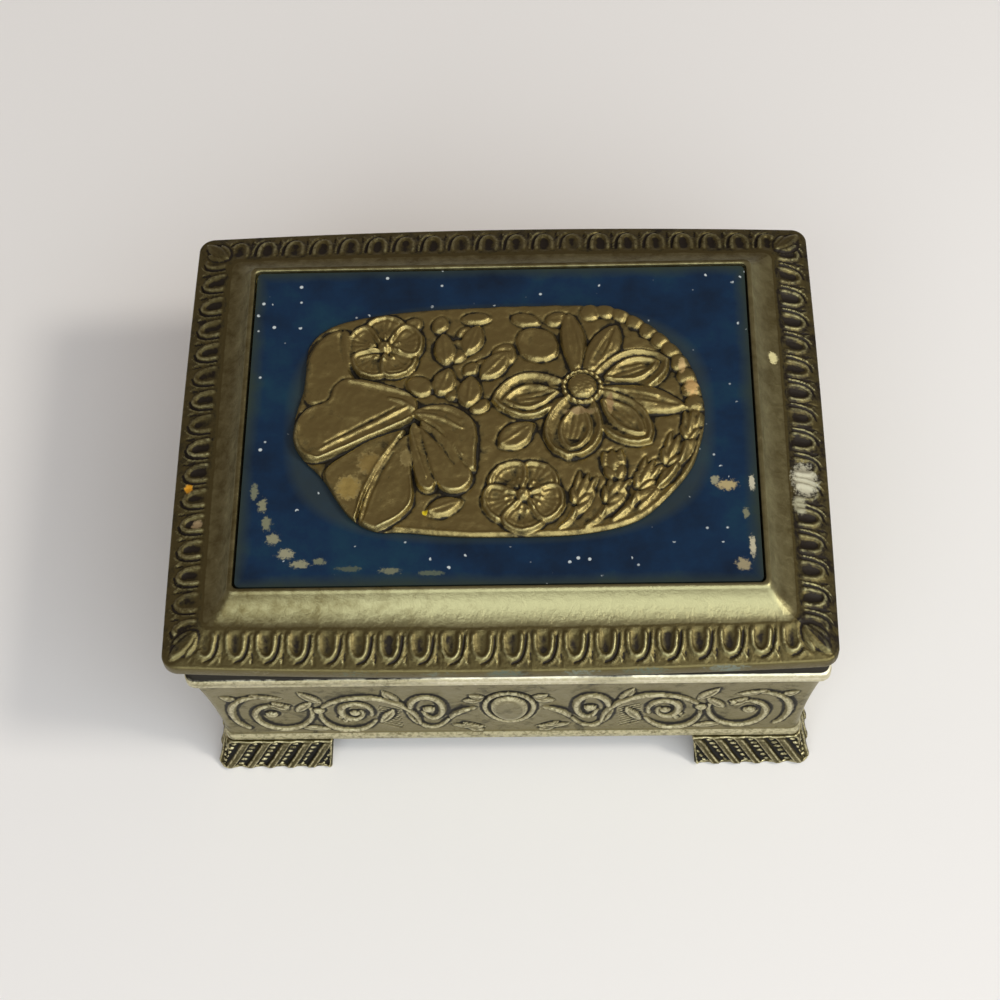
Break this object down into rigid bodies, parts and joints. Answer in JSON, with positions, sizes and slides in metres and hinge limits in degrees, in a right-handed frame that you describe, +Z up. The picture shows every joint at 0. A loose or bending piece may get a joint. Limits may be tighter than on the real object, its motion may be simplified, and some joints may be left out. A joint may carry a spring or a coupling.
{
  "type": "footed trinket box",
  "caption": "Rectangular cast metal trinket box on bracket feet, with a back-hinged lid that carries an enamel panel and floral relief, lined inside.",
  "frame": {"origin": "on the surface the feet stand on, under the middle of the closed box", "axes": "+X to the right seen from the front, +Y to the back where the hinges are, +Z up"},
  "size_m": [0.0906, 0.0742, 0.0434],
  "materials": {
    "antique_brass": "cast, with dark patina in the hollows and worn bright edges",
    "plain_brass": "drawn and rolled, dulled",
    "navy_enamel": "cold enamel on sheet metal, chipped at the edges",
    "lining_velvet": "short pile velvet over card and wadding"
  },
  "bodies": {
    "body": {"body_casting": "antique_brass", "foot_front_left": "antique_brass", "foot_front_right": "antique_brass", "foot_back_left": "antique_brass", "foot_back_right": "antique_brass", "bottom_plate": "plain_brass", "wall_lining_right": "lining_velvet", "wall_lining_back": "lining_velvet", "wall_lining_left": "lining_velvet", "wall_lining_front": "lining_velvet", "base_lining_pad": "lining_velvet", "hinge_leaf_body_left": "plain_brass", "hinge_leaf_body_right": "plain_brass", "hinge_pin_left": "plain_brass", "hinge_pin_right": "plain_brass"},
    "lid": {"lid_casting": "antique_brass", "enamel_panel": "navy_enamel", "relief_medallion": "antique_brass", "lid_lining_pad": "lining_velvet", "hinge_leaf_lid_left": "plain_brass", "hinge_leaf_lid_right": "plain_brass"}
  },
  "joints": [
    {"name": "lid_hinge", "type": "hinge", "parent": "body", "child": "lid", "pos_m": [0, 0.03562, 0.0329], "axis": [-1, 0, 0], "range_deg": [0, 105]}
  ]
}
